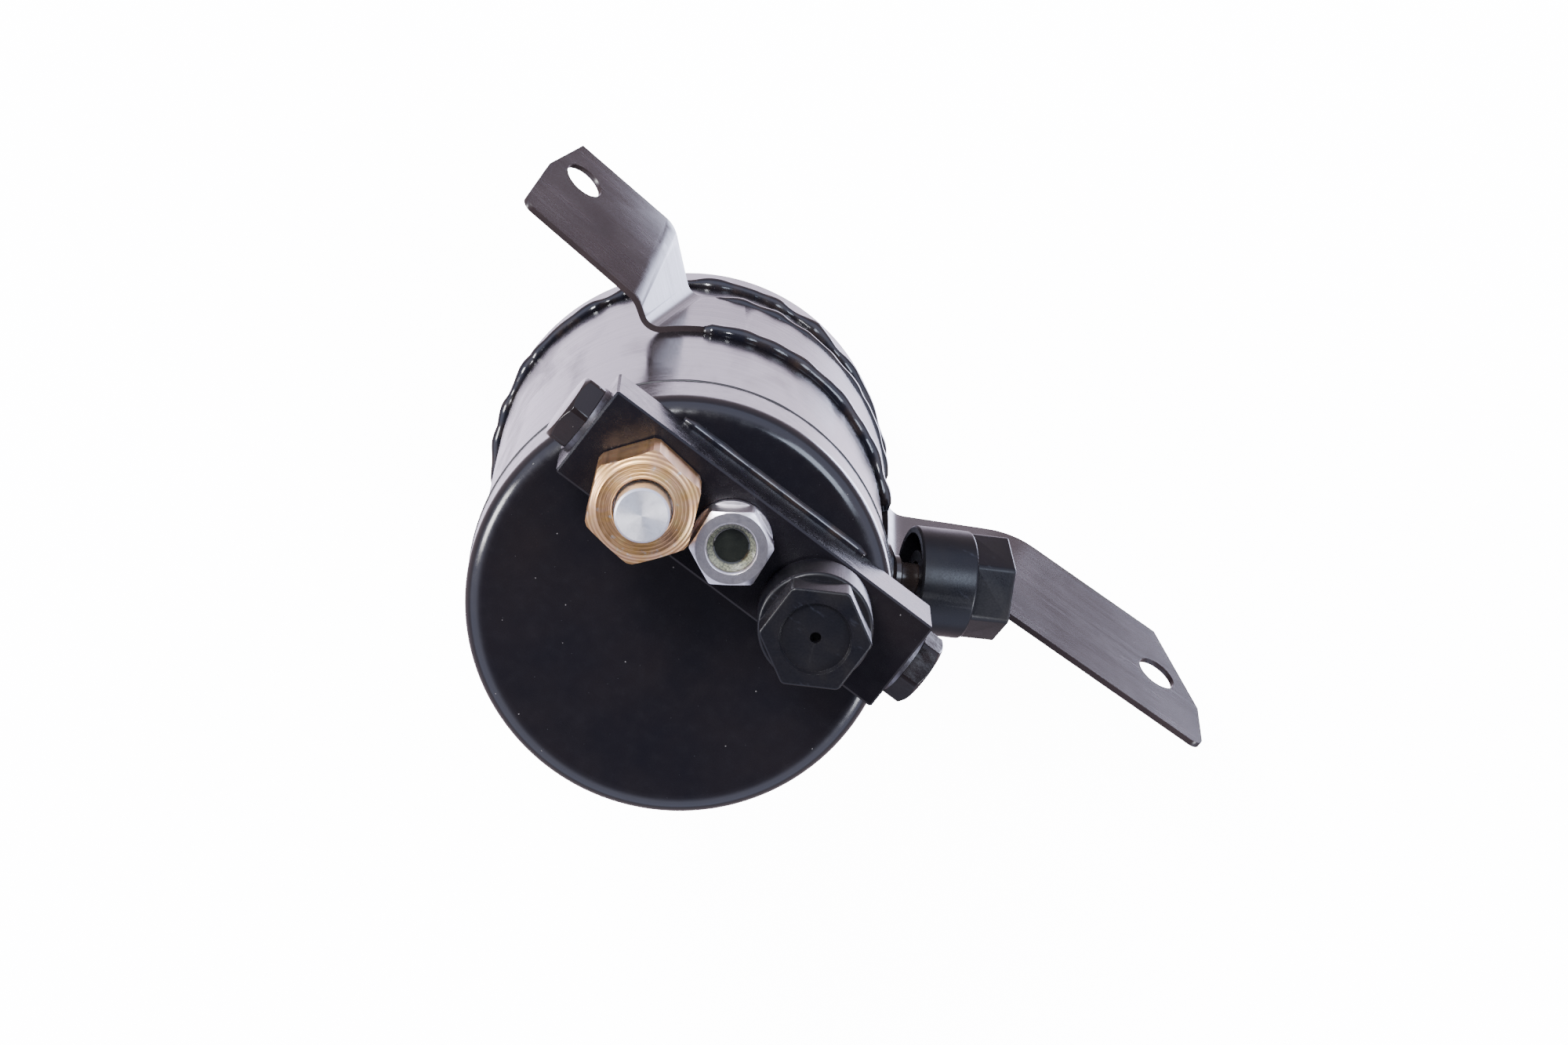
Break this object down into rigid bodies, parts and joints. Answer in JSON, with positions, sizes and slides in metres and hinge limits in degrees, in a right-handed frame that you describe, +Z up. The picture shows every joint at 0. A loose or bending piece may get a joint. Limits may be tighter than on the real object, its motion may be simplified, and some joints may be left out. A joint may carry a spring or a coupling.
{
  "type": "hydraulic reservoir",
  "caption": "Upright welded steel cylinder reservoir with a ported manifold bar on its top face, sight glass, capped valves and a strap bracket with drilled ears.",
  "frame": {"origin": "centre of the flat base face that the vessel stands on", "axes": "+Z up the vessel's axis to the manifold end, +X along the manifold bar from the union to the service port, +Y towards the bracket"},
  "size_m": [0.2166, 0.1048, 0.2097],
  "materials": {
    "black_paint": "gloss black enamel over steel",
    "weld_bead": "gloss black enamel over a lumpy weld bead",
    "bracket_paint": "thin satin black coat on steel sheet",
    "plug_paint": "gloss black enamel over steel hexagons",
    "sealing_washer": "soft flat washer, dull",
    "plain_steel": "turned bright steel",
    "side_port_steel": "dark coated steel",
    "yellow_zinc": "yellow passivated zinc plate, turned face",
    "turned_aluminium": "faced end with radial glints",
    "rubber_seal": "black nitrile",
    "nickel_steel": "nickel plated, satin",
    "sight_glass": "fused sight glass, dark behind",
    "black_plastic": "moulded black nylon, fine matt grain",
    "valve_brass": "turned brass"
  },
  "bodies": {
    "root": {"shell": "black_paint", "top_cap": "black_paint", "base_cap": "black_paint", "base_weld": "weld_bead", "bracket": "bracket_paint", "bracket_weld_upper": "weld_bead", "bracket_weld_lower": "weld_bead", "manifold_bar": "black_paint", "manifold_weld": "weld_bead", "gallery_plugs": "plug_paint", "plug_washers": "sealing_washer", "union_stub": "plain_steel", "sight_glass_body": "nickel_steel", "sight_glass_lens": "sight_glass", "sight_glass_seal": "rubber_seal", "front_port_body": "plain_steel", "front_valve_core": "valve_brass", "front_valve_spring": "plain_steel", "side_port_body": "side_port_steel", "side_port_weld": "weld_bead", "side_valve_core": "valve_brass", "side_valve_spring": "plain_steel", "dip_tube": "plain_steel", "pickup_strainer": "plain_steel", "strainer_foot": "plain_steel", "baffle_plate": "plain_steel", "return_diffuser": "plain_steel"},
    "blanking_plug": {"blanking_plug": "turned_aluminium", "plug_o_ring": "rubber_seal"},
    "union_nut": {"union_nut": "yellow_zinc"},
    "front_cap_seal": {"front_cap_seal": "rubber_seal"},
    "front_cap": {"front_port_cap": "black_plastic"},
    "side_cap_seal": {"side_cap_seal": "rubber_seal"},
    "side_cap": {"side_port_cap": "black_plastic"},
    "front_valve_pin": {"front_valve_pin": "plain_steel"},
    "side_valve_pin": {"side_valve_pin": "plain_steel"}
  },
  "joints": [
    {"name": "plug_lift", "type": "slide", "parent": "root", "child": "blanking_plug", "axis": [0, 0, 1], "range_m": [0, 0.0105]},
    {"name": "nut_turn", "type": "hinge", "parent": "blanking_plug", "child": "union_nut", "pos_m": [-0.0256, 0.0212, 0.194], "axis": [0, 0, 1], "range_deg": [0, 2521]},
    {"name": "front_cap_lift", "type": "slide", "parent": "root", "child": "front_cap_seal", "axis": [0, 0, 1], "range_m": [0, 0.0125]},
    {"name": "front_cap_turn", "type": "hinge", "parent": "front_cap_seal", "child": "front_cap", "pos_m": [0.0224, 0.0227, 0.195], "axis": [0, 0, 1], "range_deg": [0, 3601]},
    {"name": "side_cap_lift", "type": "slide", "parent": "root", "child": "side_cap_seal", "axis": [0.8627, 0.4587, -0.213], "range_m": [0, 0.0125]},
    {"name": "side_cap_turn", "type": "hinge", "parent": "side_cap_seal", "child": "side_cap", "pos_m": [0.04924, 0.02618, 0.09474], "axis": [0.8627, 0.4587, -0.213], "range_deg": [0, 3601]},
    {"name": "front_valve_press", "type": "slide", "parent": "root", "child": "front_valve_pin", "axis": [0, 0, -1], "range_m": [0, 0.0015], "stiffness_N_per_m": 400, "springref_m": -0.001, "deforming": ["front_valve_spring"]},
    {"name": "side_valve_press", "type": "slide", "parent": "root", "child": "side_valve_pin", "axis": [-0.8627, -0.4587, 0.213], "range_m": [0, 0.0015], "stiffness_N_per_m": 400, "springref_m": -0.001}
  ],
  "couplings": [
    {"joint": "nut_turn", "follows": "plug_lift", "rad_per_m": 4188.8},
    {"joint": "front_cap_turn", "follows": "front_cap_lift", "rad_per_m": 5026.5},
    {"joint": "side_cap_turn", "follows": "side_cap_lift", "rad_per_m": 5026.5}
  ]
}
